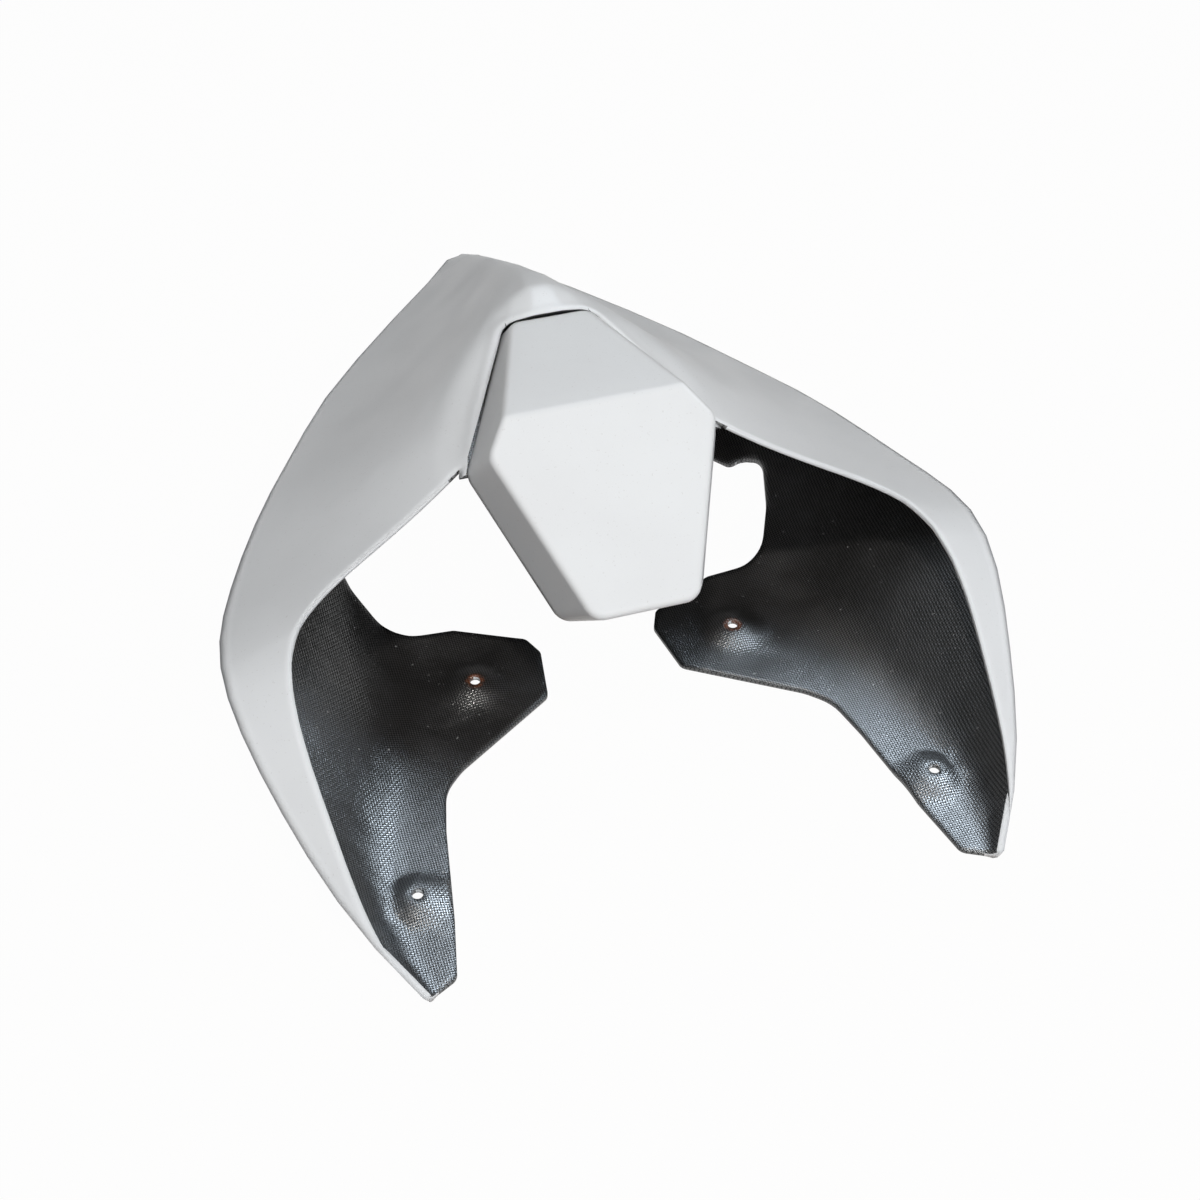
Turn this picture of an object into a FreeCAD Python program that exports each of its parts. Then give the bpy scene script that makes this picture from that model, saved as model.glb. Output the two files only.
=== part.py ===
import FreeCAD, Part
import math
import os

os.makedirs("parts", exist_ok=True)
V = FreeCAD.Vector

# Frame: millimetres, +Z up, +Y towards the tail end, X across. The flat mounting plates rest on Z = 0,
# the mirror plane is X = 0 and the origin lies below the middle of the length.

# Overall size and laminate
length = 484.0
shoulder_half_width = 200.0
shoulder_height = 65.0
crest_height = 164.0
wall = 2.2

# Underside: flat plates, a soft bend into the sides, and a straight rise to the tail end
tail_end_bottom = 62.0
trim_allowance = 1.5
bend_share = 0.3
bend_least = 3.0
bend_strips = 3
blend_limit = 0.45
cut_corner_r = 6.0
cut_hollow_r = 32.0

# Deck ridges and the rim between the arms
ridge_blend = 12.0
crest_round = 0.5
rim_lip = 3.0

# Fixing holes in the plates, each on a pressed-up boss
screw_hole_d = 5.5
boss_height = 5.0
boss_top_r = 6.0
boss_foot_r = 20.0
boss_sink = 0.3

# Centre cover, set out on its lower face, which leans back by cover_lean
cover_lean = 36.0
cover_crease_drop = 2.0
cover_low_length = 107.0
cover_high_length = 62.0
cover_low_half_width = 26.0
cover_mid_half_width = 57.5
cover_mid_u = -18.0
cover_top_half_width = 8.5
cover_top_drop = 50.0
cover_depth = 31.0
cover_top_depth = 12.0
cover_foot_bend_u = -18.0
cover_draft = 0.25
cover_foot_tuck = 0.25
cover_corner_r = 9.0
cover_edge_r = 3.0
cover_wall = 2.2

# Seat of the cover in the collar
shut_line = 1.8
flange_width = 13.0
seat_overhang = 6.0

# Places on the hull are shares: along its length from the tips, and across its half width
tip_y = -length / 2
tail_y = length / 2
far = length


def along(share):
    return tip_y + share * length


def across(share):
    return share * shoulder_half_width


lead_share = -0.012
collar_end_share = 0.444
collar_spread = 0.35
rise_start_y = along(0.475)
collar_end_y = along(collar_end_share)
tip_hole = (across(0.665), along(0.118))
tab_hole = (across(0.36), along(0.382))
cover_crease_y = along(0.4215)
cover_crease_z = crest_height - cover_crease_drop
seat_front_y = collar_end_y - seat_overhang
cut_reach_z = 0.23 * crest_height
station_count = 22
station_pull = 0.0228
station_focus = 0.36


def guide(unit, *knots):
    """Smooth function of y through a few knots: share of the length, and value as a multiple of unit."""
    places = [along(share) for share, value in knots]
    curve = Part.BSplineCurve()
    curve.interpolate(Points=[V(y, unit * k[1], 0) for y, k in zip(places, knots)], Parameters=places)
    return lambda y: curve.value(y).y


edge_x = guide(shoulder_half_width, (lead_share, 0.698), (0.07, 0.822), (0.188, 0.93), (0.339, 1),
               (0.471, 0.942), (0.603, 0.797), (0.707, 0.657), (0.789, 0.532), (0.872, 0.332),
               (0.934, 0.172), (1, 0.05))
edge_z = guide(shoulder_height, (lead_share, 0.046), (0.07, 0.323), (0.188, 0.646), (0.339, 1),
               (0.471, 0.923), (0.624, 0.938), (0.81, 0.923), (0.903, 1.06), (1, 1.038))
crest_z = guide(crest_height, (lead_share, 0.61), (0.376, 0.927), (0.587, 0.97), (0.628, 0.997),
                (0.665, 0.971), (0.779, 0.802), (0.901, 0.6), (1, 0.427))
ridge_z = guide(crest_height, (lead_share, 0.36), (0.12, 0.52), (0.231, 0.65), (0.339, 0.735),
                (collar_end_share, 0.759), (0.539, 0.829), (0.595, 0.884), (0.645, 0.902), (0.702, 0.845),
                (0.769, 0.759), (0.872, 0.622), (1, 0.421))
ridge_x = guide(shoulder_half_width, (lead_share, 0.36), (0.231, 0.365), (collar_end_share, collar_spread),
                (0.537, 0.305), (0.645, 0.135), (0.748, 0.075), (0.872, 0.045), (1, 0.015))
deck_sag = guide(crest_height, (lead_share, 0), (0.376, 0.012), (0.537, 0.073), (0.645, 0.095),
                 (0.81, 0.055), (1, 0))
flare = guide(1, (lead_share, 0.75), (0.128, 0.85), (0.395, 1.25), (0.624, 0.9), (1, 0.8))


def distance(a, b):
    return math.hypot(b[0] - a[0], b[1] - a[1])


def toward(a, b, run):
    """The point at a distance run from a on the way to b."""
    share = run / distance(a, b)
    return (a[0] + share * (b[0] - a[0]), a[1] + share * (b[1] - a[1]))


def half_section(y, floor):
    """Poles of the right half of a cross section, from the plate up to the crest."""
    low = max(floor, tail_end_bottom * (y - rise_start_y) / (tail_y - rise_start_y))
    edge = (edge_x(y), edge_z(y))
    bend = (edge[0] - flare(y) * (edge[1] - low), low)
    ease = min(bend_least + bend_share * (edge[1] - low), blend_limit * min(distance(bend, edge), bend[0]))
    plate = (bend[0] - ease, low)
    foot = toward(bend, edge, ease)
    ridge = (ridge_x(y), ridge_z(y))
    deck = ((edge[0] + ridge[0]) / 2, (edge[1] + ridge[1]) / 2 - deck_sag(y))
    apex = (0.0, (2 * crest_z(y) - crest_round * ridge[1]) / (2 - crest_round))
    roof = toward(apex, ridge, crest_round * distance(apex, ridge))
    soft = min(ridge_blend, blend_limit * min(distance(ridge, deck), distance(ridge, roof)))
    before = toward(ridge, deck, soft)
    after = toward(ridge, roof, soft)
    return [plate, bend, foot, edge, deck, before, ridge, after, roof, apex]


def inset(points, gap):
    """Moves the corners of a half section inwards by gap, square to the sides that meet there."""
    ring = [(-points[0][0], points[0][1])] + points + [(-points[-2][0], points[-2][1])]
    moved = []
    for a, b, c in zip(ring, ring[1:], ring[2:]):
        d1 = math.atan2(b[1] - a[1], b[0] - a[0])
        d2 = math.atan2(c[1] - b[1], c[0] - b[0])
        turn = (d1 + d2) / 2 if abs(d2 - d1) < math.pi else (d1 + d2) / 2 + math.pi
        reach = gap / max(blend_limit, abs(math.cos((d2 - d1) / 2)))
        moved.append((b[0] - reach * math.sin(turn), b[1] + reach * math.cos(turn)))
    moved[-1] = (0.0, moved[-1][1])
    return moved


def section_wire(points, y):
    """Closed symmetric wire of a section at station y, with each soft bend as a few straight strips."""
    right = [V(x, y, z) for x, z in points]
    left = [V(-p.x, p.y, p.z) for p in right]

    def bow(*poles):
        curve = Part.BezierCurve()
        curve.setPoles(poles)
        return curve

    def strips(*poles):
        curve = bow(*poles)
        points = [curve.value(i / bend_strips) for i in range(bend_strips + 1)]
        return Part.makePolygon(points).Edges

    edges = [Part.makeLine(left[0], right[0]), *strips(*right[0:3]), Part.makeLine(right[2], right[3]),
             bow(*right[3:6]).toShape(), *strips(*right[5:8]), Part.makeLine(right[7], right[8]),
             *strips(*right[8:], left[8]), Part.makeLine(left[8], left[7]), *strips(*left[7:4:-1]),
             bow(*left[5:2:-1]).toShape(), Part.makeLine(left[3], left[2]), *strips(*left[2::-1])]
    return Part.Wire(edges)


def station(i):
    """Place of a section along the length; they stand closer together around the shoulder."""
    t = i / (station_count - 1)
    turn = 2 * math.pi
    pull = math.sin(turn * (t - station_focus)) + math.sin(turn * station_focus)
    return along(t - station_pull * pull)


def hull(stations, floor, gap):
    """Closed hull lofted through sections at the given stations, set in by gap."""
    wires = []
    for y in stations:
        points = half_section(y, floor)
        if gap:
            points = inset(points, gap)
        wires.append(section_wire(points, y))
    return Part.makeLoft(wires, True, True)


def profile_prism(points):
    """Prism across the whole width on a closed side profile given as (y, z) points."""
    ring = [V(-far, y, z) for y, z in points]
    return Part.Face(Part.makePolygon(ring + ring[:1])).extrude(V(2 * far, 0, 0))


def rounded_plan(points):
    """Closed plan outline through the given right half and its mirror, every corner rounded."""
    ring = points + [(-x, y) for x, y in reversed(points)]
    count = len(ring)
    ends = []
    for i in range(count):
        p = V(ring[i][0], ring[i][1], 0)
        before = V(ring[i - 1][0], ring[i - 1][1], 0) - p
        after = V(ring[(i + 1) % count][0], ring[(i + 1) % count][1], 0) - p
        half_angle = before.getAngle(after) / 2
        radius = cut_hollow_r if before.cross(after).z < 0 else cut_corner_r
        back = min(radius / math.tan(half_angle), blend_limit * min(before.Length, after.Length))
        start = p + before.normalize() * back
        end = p + after.normalize() * back
        middle = (before + after).normalize()
        bend_r = back * math.tan(half_angle)
        top = p + middle * (bend_r / math.sin(half_angle) - bend_r)
        ends.append((start, top, end))
    edges = []
    for i in range(count):
        start, top, end = ends[i]
        edges.append(Part.Arc(start, top, end).toShape())
        edges.append(Part.makeLine(end, ends[(i + 1) % count][0]))
    return Part.Wire(edges)


def plan_prism(wire, low, high):
    face = Part.Face(wire)
    face.translate(V(0, 0, low))
    return face.extrude(V(0, 0, high - low))


def front_opening():
    """Space between the two arms: inside the rim and above the outer edge line."""
    start = V(edge_x(tip_y) - rim_lip, along(lead_share), 0)
    end = V(across(collar_spread) - rim_lip, collar_end_y, 0)
    rim_shares = [(0.78, 0.048), (0.83, 0.159), (0.85, 0.262), (0.79, 0.362), (0.585, 0.411)]
    rim = Part.BSplineCurve()
    rim.interpolate([start] + [V(across(x), along(y), 0) for x, y in rim_shares] + [end])
    right = rim.toShape()
    left = right.mirror(V(0, 0, 0), V(1, 0, 0))
    front = Part.makePolygon([V(-start.x, start.y, 0), V(-start.x, -far, 0), V(start.x, -far, 0), start])
    back = Part.makeLine(end, V(-end.x, end.y, 0))
    outline = Part.Wire(Part.__sortEdges__([right, left, back] + front.Edges))
    places = [along(i / station_count) for i in range(station_count // 2 + 2)]
    edge_line = [(y, edge_z(y)) for y in places]
    above_edge = profile_prism([(-far, edge_z(tip_y))] + edge_line + [(places[-1], far), (-far, far)])
    return plan_prism(outline, 0, far).common(above_edge)


def underside_opening():
    """Cut-out between the plates, with the two tabs left standing."""
    shares = [(0.72, -0.5), (0.72, 0), (0.63, 0.019), (0.595, 0.087), (0.55, 0.196), (0.52, 0.248),
              (0.465, 0.271), (0.185, 0.347), (0.16, 0.413), (0.185, 0.438), (0.365, 0.473), (0.485, 0.477),
              (0.55, 0.496), (0.605, 0.545), (0.635, 0.595), (0.59, 0.614), (0.555, 0.614), (0.48, 0.649),
              (0.2, 0.696)]
    outline = [(across(x), along(y)) for x, y in shares]
    return plan_prism(rounded_plan(outline), -far, cut_reach_z)


def swelling(low):
    """Soft round boss that stands boss_height above a plate face at height low."""
    return Part.makeCone(boss_foot_r, boss_top_r, boss_sink + boss_height, V(0, 0, low - boss_sink))


def at_holes(shape):
    """The shape repeated at the four fixing holes."""
    copies = []
    for x, y in (tip_hole, tab_hole):
        for side in (-1, 1):
            copy = shape.copy()
            copy.translate(V(side * x, y, 0))
            copies.append(copy)
    return copies


# The cover is drawn in its own tilted frame: u along its lower face, w square to it
low_side_slope = (cover_mid_half_width - cover_low_half_width) / (cover_low_length + cover_mid_u)
high_side_slope = (cover_top_half_width - cover_mid_half_width) / (cover_high_length - cover_mid_u)
high_slope = cover_top_drop / cover_high_length
foot_slope = (cover_top_drop + cover_top_depth - cover_depth) / (cover_high_length - cover_foot_bend_u)
block_front = -1.4 * cover_low_length
block_back = 1.25 * cover_high_length
block_rise = cover_edge_r + cover_wall
block_depth = cover_depth + cover_top_drop + cover_top_depth


def cover_corners(depth, grow):
    """Corners of the cover outline at a depth below its lower face, moved out by its draft and by grow."""
    mid_x = cover_mid_half_width + cover_draft * depth + grow
    low_u = cover_foot_tuck * depth - cover_low_length - grow
    low_x = mid_x + low_side_slope * (low_u - cover_mid_u)
    high_u = cover_high_length + grow
    high_x = mid_x + high_side_slope * (high_u - cover_mid_u)
    half = [V(low_x, low_u, -depth), V(mid_x, cover_mid_u, -depth), V(high_x, high_u, -depth)]
    return half + [V(-p.x, p.y, p.z) for p in reversed(half)]


def cover_block(grow, profile):
    """Drafted block with plane walls and rounded corners, kept inside a side profile of (u, w) points."""
    top = cover_corners(-block_rise, grow)
    foot = cover_corners(block_depth, grow)
    loops = [top, foot] + [[top[i - 1], top[i], foot[i], foot[i - 1]] for i in range(len(top))]
    skin = Part.makeShell([Part.Face(Part.makePolygon(loop + loop[:1])) for loop in loops])
    skin.sewShape()
    block = Part.makeSolid(skin)
    corner_r = cover_corner_r + grow
    if corner_r > 0:
        corners = [e for e in block.Edges if abs(e.Vertexes[0].Z - e.Vertexes[1].Z) > block_rise]
        block = block.makeFillet(corner_r, corners)
    return block.common(profile_prism(profile))


def top_line(skin):
    """Upper side of the cover's profile, lowered by skin."""
    return [(block_front, -skin), (0, -skin),
            (block_back, -high_slope * block_back - skin * math.hypot(1, high_slope))]


def foot_line(sink):
    """Lower side of the cover's profile, from the top end to the low end, lowered by sink."""
    return [(block_back, -cover_depth - foot_slope * (block_back - cover_foot_bend_u) - sink),
            (cover_foot_bend_u, -cover_depth - sink), (block_front, -cover_depth - sink)]


def above_foot(sink):
    return [(block_front, block_rise), (block_back, block_rise)] + foot_line(sink)


def placed(shape):
    """The shape moved from the cover's own frame to its place on the fairing."""
    shape = shape.copy()
    shape.rotate(V(0, 0, 0), V(1, 0, 0), cover_lean)
    shape.translate(V(0, cover_crease_y, cover_crease_z))
    return shape


def on_top(edge):
    middle = edge.valueAt((edge.FirstParameter + edge.LastParameter) / 2)
    return abs(middle.z + high_slope * max(0, middle.y)) < 0.01


def make_cover():
    block = cover_block(0, top_line(0) + foot_line(0))
    block = block.makeFillet(cover_edge_r, [e for e in block.Edges if on_top(e)])
    hollow = cover_block(-cover_wall, top_line(cover_wall) + foot_line(cover_depth))
    return placed(block.cut(hollow))


def make_seat(outer):
    """Ring wall and flange that carry the cover's foot inside the collar."""
    tray = cover_block(shut_line + wall, above_foot(wall))
    tray = tray.cut(cover_block(shut_line, above_foot(0)))
    tray = tray.cut(cover_block(-flange_width, above_foot(2 * wall)))
    behind = Part.makeBox(2 * far, far, far, V(-far, seat_front_y, 0))
    return placed(tray).common(outer).common(behind)


def make_shell():
    stations = [station(i) for i in range(station_count)]
    outer = hull(stations, -trim_allowance, 0)
    inner = hull([along(lead_share)] + stations[1:-1], 0, wall)
    shell = outer.cut(inner)
    shell = shell.cut(Part.makeBox(2 * far, 2 * far, far, V(-far, -far, -far)))
    shell = shell.cut(front_opening())
    shell = shell.fuse(at_holes(swelling(wall)))
    shell = shell.cut(at_holes(swelling(0)))
    shell = shell.cut(underside_opening())
    shell = shell.cut(at_holes(Part.makeCylinder(screw_hole_d / 2, 4 * boss_height)))
    shell = shell.cut(placed(cover_block(shut_line, above_foot(0))))
    seat = make_seat(outer)
    shell = shell.fuse(seat)
    return shell


cover = make_cover()
shell = make_shell()
shell.exportStep("parts/tail_shell.step")
cover.exportStep("parts/centre_cover.step")
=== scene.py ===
import math

import bpy
from mathutils import Euler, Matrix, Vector

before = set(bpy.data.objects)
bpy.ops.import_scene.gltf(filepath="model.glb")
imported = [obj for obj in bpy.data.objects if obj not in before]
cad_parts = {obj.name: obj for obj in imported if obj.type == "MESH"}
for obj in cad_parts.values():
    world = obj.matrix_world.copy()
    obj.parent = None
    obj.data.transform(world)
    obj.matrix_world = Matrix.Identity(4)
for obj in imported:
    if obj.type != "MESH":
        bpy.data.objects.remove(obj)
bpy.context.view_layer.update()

scene = bpy.context.scene
scene.view_settings.view_transform = "Standard"

# Camera, solved from mirrored pairs of points on the object
camera_tilt, camera_roll, camera_turn = (math.radians(angle) for angle in (46.471, -0.05, -17.209))
camera = bpy.data.objects.new("camera", bpy.data.cameras.new("camera"))
scene.collection.objects.link(camera)
camera.data.sensor_width = 36
camera.data.lens = 57
camera.location = (-0.21542, -0.73999, 0.72572)
camera.rotation_euler = Euler((camera_tilt, camera_roll, camera_turn))
scene.camera = camera

# Places on the object, in metres
tab_hole_x, tab_hole_y = 0.072, -0.0571
arm_tip_y = -0.21
hull_middle_z = 0.045
plate_zone = 0.010
edge_band = 0.012
# The foot of a tip boss shows outside the wall of the arm, beyond this x and between these y, below this z
boss_foot_x, boss_foot_front, boss_foot_back, boss_foot_top = 0.146, -0.215, -0.15, 0.0042
# Half width of the hull at its outer edge, as (y, half width) from the arm tips back
hull_edge = ((-0.248, 0.1396), (-0.208, 0.1644), (-0.151, 0.186), (-0.078, 0.2), (0.25, 0.2))

# The cover's own frame: it leans back around its crease, and u runs up along its face
crease_y, crease_z = -0.038, 0.162
lean = math.radians(36)
cover_low_u, cover_wide_u, cover_high_u = -0.107, -0.018, 0.062
cover_half_width = 0.0575
cover_taper_below, cover_taper_above = 0.354, -0.6125
cover_draft = 0.25
collar_reach = 0.0046

# Finishes of the shell's faces; one that is kept black never counts as rim
outer_white, inner_black, kept_black = 0, 1, 2


class Nodes:
    """A material's node tree, with short calls for adding and joining its nodes."""

    def __init__(self, name):
        self.material = bpy.data.materials.new(name)
        self.material.use_nodes = True
        self.tree = self.material.node_tree
        self.shader = self.tree.nodes["Principled BSDF"]
        self.output = self.tree.nodes["Material Output"]

    def join(self, value, socket):
        if isinstance(value, bpy.types.NodeSocket):
            self.tree.links.new(value, socket)
        else:
            socket.default_value = value

    def math(self, operation, a, b=0.0):
        node = self.tree.nodes.new("ShaderNodeMath")
        node.operation = operation
        self.join(a, node.inputs[0])
        self.join(b, node.inputs[1])
        return node.outputs[0]

    def range(self, value, low, high, to_low=0.0, to_high=1.0):
        node = self.tree.nodes.new("ShaderNodeMapRange")
        node.interpolation_type = "SMOOTHSTEP"
        self.join(value, node.inputs["Value"])
        for name, number in zip(("From Min", "From Max", "To Min", "To Max"), (low, high, to_low, to_high)):
            self.join(number, node.inputs[name])
        return node.outputs[0]

    def noise(self, place, scale, detail=3.0, rough=0.5):
        node = self.tree.nodes.new("ShaderNodeTexNoise")
        self.join(place, node.inputs["Vector"])
        node.inputs["Scale"].default_value = scale
        node.inputs["Detail"].default_value = detail
        node.inputs["Roughness"].default_value = rough
        return node.outputs["Fac"]

    def mix(self, factor, a, b, kind="RGBA"):
        node = self.tree.nodes.new("ShaderNodeMix")
        node.data_type = kind
        self.join(factor, node.inputs["Factor"])
        self.join(a, node.inputs["A"])
        self.join(b, node.inputs["B"])
        return node.outputs["Result"]

    def place(self):
        return self.tree.nodes.new("ShaderNodeTexCoord").outputs["Object"]

    def axes(self, vector):
        node = self.tree.nodes.new("ShaderNodeSeparateXYZ")
        self.join(vector, node.inputs[0])
        return node.outputs

    def round_edges(self, radius):
        node = self.tree.nodes.new("ShaderNodeBevel")
        node.samples = 8
        node.inputs["Radius"].default_value = radius
        return node.outputs["Normal"]

    def bump(self, height, distance, strength, after):
        node = self.tree.nodes.new("ShaderNodeBump")
        node.inputs["Strength"].default_value = strength
        node.inputs["Distance"].default_value = distance
        self.join(height, node.inputs["Height"])
        self.join(after, node.inputs["Normal"])
        return node.outputs["Normal"]


def gel_coat(name, pale, dull, edge_radius):
    """White satin gel coat over soft edges, with faint clouds, fine orange peel and a few dust specks."""
    dust = (0.42, 0.4, 0.38, 1)
    n = Nodes(name)
    place = n.place()
    clouds = n.noise(place, scale=14.0, detail=4.0)
    specks = n.range(n.noise(place, scale=900.0, detail=1.0), 0.7, 0.76)
    colour = n.mix(n.range(clouds, 0.3, 0.75), pale, dull)
    colour = n.mix(n.math("MULTIPLY", specks, 0.25), colour, dust)
    n.join(colour, n.shader.inputs["Base Color"])
    rough = n.range(n.noise(place, scale=40.0), 0.25, 0.8, to_low=0.34, to_high=0.46)
    n.join(rough, n.shader.inputs["Roughness"])
    n.shader.inputs["Specular IOR Level"].default_value = 0.15
    peel = n.noise(place, scale=420.0, detail=2.0)
    soft = n.round_edges(edge_radius)
    n.join(n.bump(peel, distance=0.00006, strength=0.35, after=soft), n.shader.inputs["Normal"])
    return n.material


def woven(n, u, v):
    """Height of a plain weave with one thread per unit along u and along v."""
    wave_u = n.math("SINE", n.math("MULTIPLY", u, math.pi))
    wave_v = n.math("SINE", n.math("MULTIPLY", v, math.pi))
    over = n.range(n.math("MULTIPLY", wave_u, wave_v), -0.25, 0.25)
    warp = n.math("MULTIPLY", n.math("ABSOLUTE", wave_u), over)
    weft = n.math("MULTIPLY", n.math("ABSOLUTE", wave_v), n.math("SUBTRACT", 1.0, over))
    return n.math("ADD", warp, weft)


def rust_at_tab_holes(n, place, x, y):
    """How rusty a place is: patchy, in a ring around each tab hole."""
    off_x = n.math("SUBTRACT", n.math("ABSOLUTE", x), tab_hole_x)
    off_y = n.math("SUBTRACT", y, tab_hole_y)
    squares = (n.math("MULTIPLY", off, off) for off in (off_x, off_y))
    distance = n.math("SQRT", n.math("ADD", *squares))
    ring = n.range(distance, 0.0034, 0.006, to_low=1.0, to_high=0.0)
    return n.math("MULTIPLY", ring, n.range(n.noise(place, scale=330.0), 0.3, 0.6))


def black_cloth(name, pitch):
    """Black woven cloth under satin resin, laid on whichever plane the wall is nearest to."""
    gap, thread = (0.002, 0.002, 0.002, 1), (0.014, 0.013, 0.0125, 1)
    dust, rust, painted_glint = (0.024, 0.024, 0.026, 1), (0.16, 0.05, 0.018, 1), (0.3, 0.3, 0.3, 1)
    n = Nodes(name)
    place = n.place()
    x, y, z = n.axes(place)
    along = n.math("DIVIDE", y, pitch)
    flat = woven(n, n.math("DIVIDE", x, pitch), along)
    steep = woven(n, n.math("DIVIDE", z, pitch), along)
    geometry = n.tree.nodes.new("ShaderNodeNewGeometry")
    level = n.math("ABSOLUTE", n.axes(geometry.outputs["True Normal"])[2])
    weave = n.mix(n.range(level, 0.55, 0.62), steep, flat, kind="FLOAT")
    resin = n.noise(place, scale=26.0, detail=4.0, rough=0.6)

    colour = n.mix(weave, gap, thread)
    colour = n.mix(n.math("MULTIPLY", n.range(resin, 0.5, 0.75), 0.35), colour, dust)
    colour = n.mix(rust_at_tab_holes(n, place, x, y), colour, rust)
    # Pale grey specks scattered over the cloth: painted glints, small highlights painted into the colour
    # rather than lit
    specks = n.range(n.noise(place, scale=620.0, detail=0.0), 0.83, 0.87)
    colour = n.mix(specks, colour, painted_glint)
    n.join(colour, n.shader.inputs["Base Color"])

    rough = n.range(resin, 0.25, 0.8, to_low=0.3, to_high=0.42)
    n.join(rough, n.shader.inputs["Roughness"])
    n.shader.inputs["IOR"].default_value = 1.9
    gloss = n.range(weave, 0.3, 0.85, to_low=0.1, to_high=1.0)
    n.join(gloss, n.shader.inputs["Specular IOR Level"])
    soft = n.round_edges(0.005)
    threads = n.bump(weave, distance=0.00045, strength=0.35, after=soft)
    n.join(n.bump(resin, distance=0.004, strength=0.35, after=threads), n.shader.inputs["Normal"])
    return n.material


def beside_cover(place):
    """How far a place lies outside the cover's outline, negative inside, and its depth below the face."""
    y, z = place.y - crease_y, place.z - crease_z
    u = y * math.cos(lean) + z * math.sin(lean)
    depth = y * math.sin(lean) - z * math.cos(lean)
    taper = cover_taper_above if u > cover_wide_u else cover_taper_below
    half_width = cover_half_width + cover_draft * depth + taper * (u - cover_wide_u)
    side = (abs(place.x) - half_width) / math.hypot(1, taper)
    return max(side, u - cover_high_u, cover_low_u + cover_draft * depth - u), depth


def edge_at(y):
    """Half width of the hull at its outer edge."""
    for (y0, x0), (y1, x1) in zip(hull_edge, hull_edge[1:]):
        if y <= y1:
            return x0 + (x1 - x0) * (y - y0) / (y1 - y0)
    return hull_edge[-1][1]


def in_cover_seat(place, normal):
    """Whether a face belongs to the seat of the cover, or to the wall of the collar just beside it."""
    outside, depth = beside_cover(place)
    lift = normal.z * math.cos(lean) - normal.y * math.sin(lean)
    under_cover = outside < 0.0012 or (outside < 0.0024 and lift < 0.1)
    collar_wall = outside < collar_reach and lift < 0.35 and depth > 0.012
    return (under_cover and depth > -0.02) or collar_wall


def on_outer_edge(place, normal):
    """Whether a face low on an arm looks outwards: at the hull's edge, or on the foot of a tip boss."""
    sideways = normal.x * place.x
    if place.z < plate_zone and abs(place.x) > edge_at(place.y) - edge_band:
        if sideways > 0.015 or (normal.y < -0.3 and place.y < arm_tip_y):
            return True
    beside_boss = abs(place.x) > boss_foot_x and boss_foot_front < place.y < boss_foot_back
    return beside_boss and place.z < boss_foot_top and sideways > 0


def shell_finish(face):
    """White outside and underneath; black inside, on top of the plates and in the cover's seat."""
    place, normal = face.center, face.normal
    if in_cover_seat(place, normal):
        return kept_black
    if on_outer_edge(place, normal):
        return outer_white
    if place.z < plate_zone and abs(normal.z) > 0.3:
        return kept_black if normal.z > 0 else outer_white
    outward = normal.x * place.x + normal.z * (place.z - hull_middle_z)
    return outer_white if outward > -1e-4 else inner_black


def spot(mesh, index):
    """A vertex's place in hundredths of a millimetre, the same for vertices that lie together."""
    return tuple(round(c * 1e5) for c in mesh.vertices[index].co)


def paint_shell(outside, inside):
    """Paints the faces of the shell; trimmed rim faces, which touch the outside, are white as well."""
    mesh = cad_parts["tail_shell"].data
    mesh.materials.clear()
    for material in (outside, inside):
        mesh.materials.append(material)
    finish = [shell_finish(face) for face in mesh.polygons]
    outer_spots = set()
    for face, kind in zip(mesh.polygons, finish):
        if kind == outer_white and face.center.z > 0.004:
            outer_spots.update(spot(mesh, i) for i in face.vertices)
    for face, kind in zip(mesh.polygons, finish):
        place = face.center
        may_be_rim = kind == inner_black and place.z > plate_zone and place.y < -0.02
        may_be_rim = may_be_rim and beside_cover(place)[0] > collar_reach
        rim = may_be_rim and any(spot(mesh, i) in outer_spots for i in face.vertices)
        face.material_index = 0 if kind == outer_white or rim else 1


def soften(node, limit):
    """Shading normals averaged by area over faces that meet at less than limit degrees."""
    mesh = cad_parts[node].data
    least = math.cos(math.radians(limit))
    around = {}
    spots = [spot(mesh, i) for i in range(len(mesh.vertices))]
    for face in mesh.polygons:
        face.use_smooth = True
        for index in face.vertices:
            around.setdefault(spots[index], []).append(face)
    normals = []
    for face in mesh.polygons:
        for index in face.vertices:
            total = Vector()
            for other in around[spots[index]]:
                if face.normal.dot(other.normal) > least:
                    total += other.normal * other.area
            normals.append(total.normalized())
    mesh.normals_split_custom_set(normals)


def paint_cover(material):
    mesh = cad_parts["centre_cover"].data
    mesh.materials.clear()
    mesh.materials.append(material)


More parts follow.
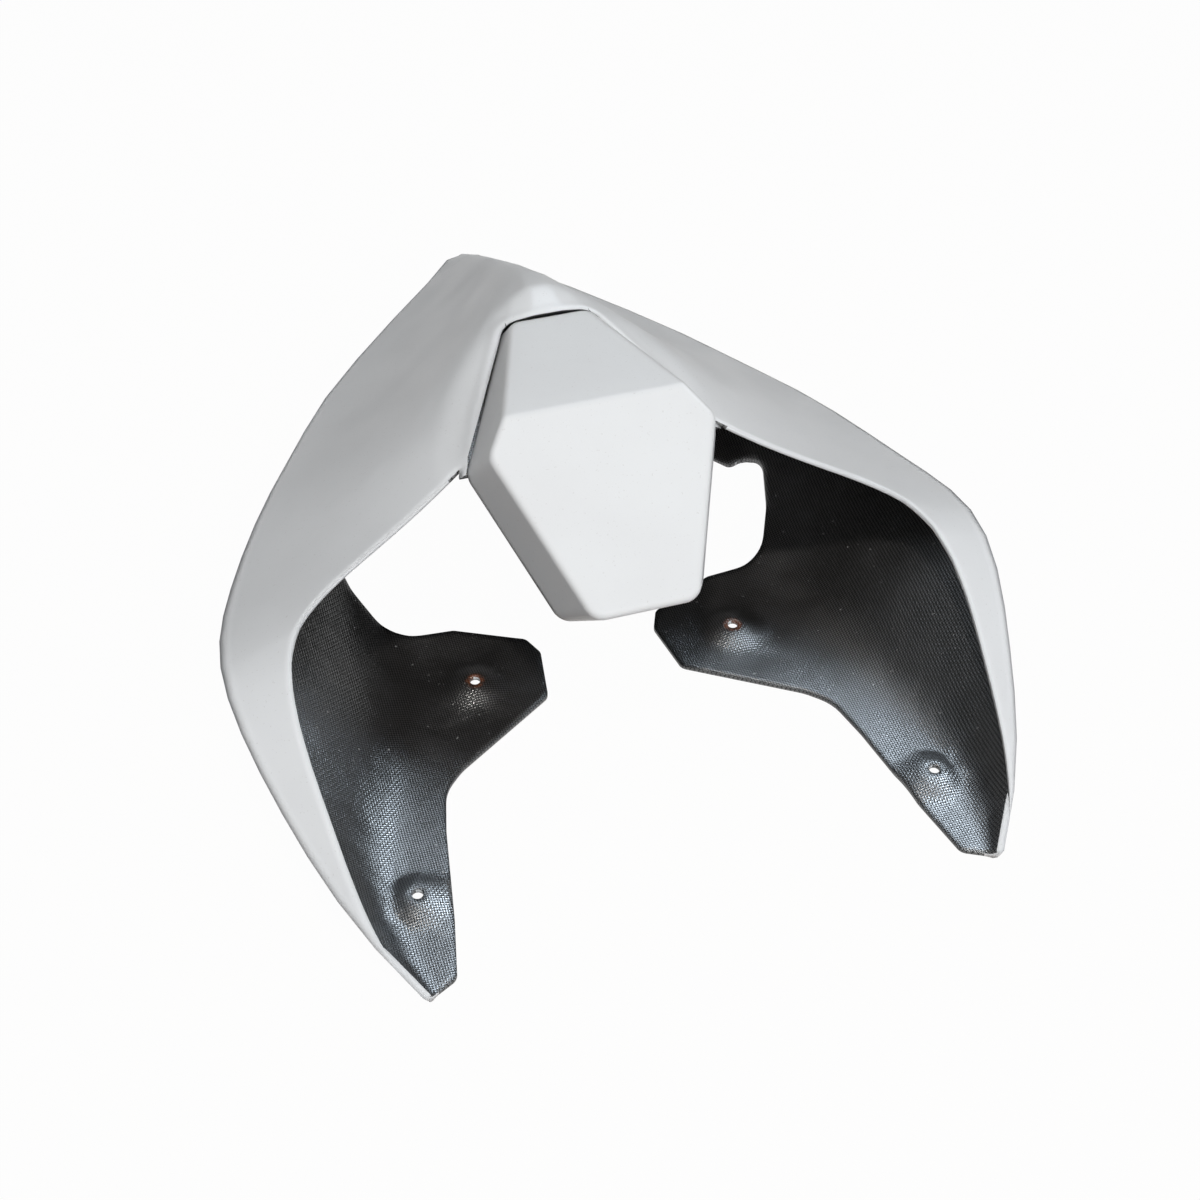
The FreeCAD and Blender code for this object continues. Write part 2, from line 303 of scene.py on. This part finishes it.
def paper():
    """Floor paper: white to the camera and in reflections, with the shadow kept, and duller to the light."""
    white_share = 0.975
    n = Nodes("paper")
    n.shader.inputs["Base Color"].default_value = (0.36, 0.3, 0.26, 1)
    n.shader.inputs["Roughness"].default_value = 0.9
    glow = n.tree.nodes.new("ShaderNodeEmission")
    glow.inputs["Color"].default_value = (1, 1, 1, 1)
    rays = n.tree.nodes.new("ShaderNodeLightPath")
    seen = rays.outputs["Is Camera Ray"]
    for kind in ("Is Glossy Ray", "Is Transmission Ray"):
        seen = n.math("MAXIMUM", seen, rays.outputs[kind])
    both = n.tree.nodes.new("ShaderNodeMixShader")
    n.join(n.math("MULTIPLY", seen, white_share), both.inputs[0])
    n.join(n.shader.outputs[0], both.inputs[1])
    n.join(glow.outputs[0], both.inputs[2])
    n.join(both.outputs[0], n.output.inputs["Surface"])
    return n.material


def lamp(name, place, watts, size, colour):
    """A square lamp that looks at the middle of the object."""
    aim = Vector((0.0, 0.0, 0.08))
    light = bpy.data.lights.new(name, "AREA")
    light.energy = watts
    light.size = size
    light.color = colour
    holder = bpy.data.objects.new(name, light)
    holder.location = place
    holder.rotation_euler = (aim - Vector(place)).to_track_quat("-Z", "Y").to_euler()
    scene.collection.objects.link(holder)
    return holder


shell_white = gel_coat("white_gel_coat", (0.8, 0.815, 0.83, 1), (0.76, 0.775, 0.79, 1), 0.006)
cover_white = gel_coat("white_cover_coat", (0.76, 0.775, 0.785, 1), (0.73, 0.74, 0.75, 1), 0.004)
cloth = black_cloth("black_woven_cloth", pitch=0.0013)
paint_shell(shell_white, cloth)
paint_cover(cover_white)
soften("tail_shell", 50)

# Floor, just below the plates
bpy.ops.mesh.primitive_plane_add(size=12, location=(0, 0, -0.0006))
floor = bpy.context.object
floor.name = "floor"
floor.data.materials.append(paper())

world = bpy.data.worlds.new("studio")
scene.world = world
world.use_nodes = True
background = world.node_tree.nodes["Background"]
background.inputs["Color"].default_value = (0.86, 0.93, 1.0, 1)
background.inputs["Strength"].default_value = 0.06

lamp("ceiling", (-0.2, -0.62, 2.08), 16.5, 0.14, (1.0, 0.96, 0.91))
lamp("front", (0.2, -1.72, 1.25), 25, 0.9, (0.96, 0.98, 1.0))
lamp("left", (-1.2, 0.75, 1.6), 4, 1.2, (0.85, 0.92, 1.0))
lamp("right", (1.4, -1.2, 0.93), 4.5, 1.0, (0.9, 0.95, 1.0))
# Two pale screens behind and beside the object, which only show as sheen
screen_colour = (0.76, 0.88, 1.0)
screens = (
    lamp("back_screen", (0.5, 1.25, 1.69), 22, 0.9, screen_colour),
    lamp("side_screen", (1.2, 0.25, 1.65), 48, 0.7, screen_colour),
)
for screen in screens:
    screen.visible_diffuse = False
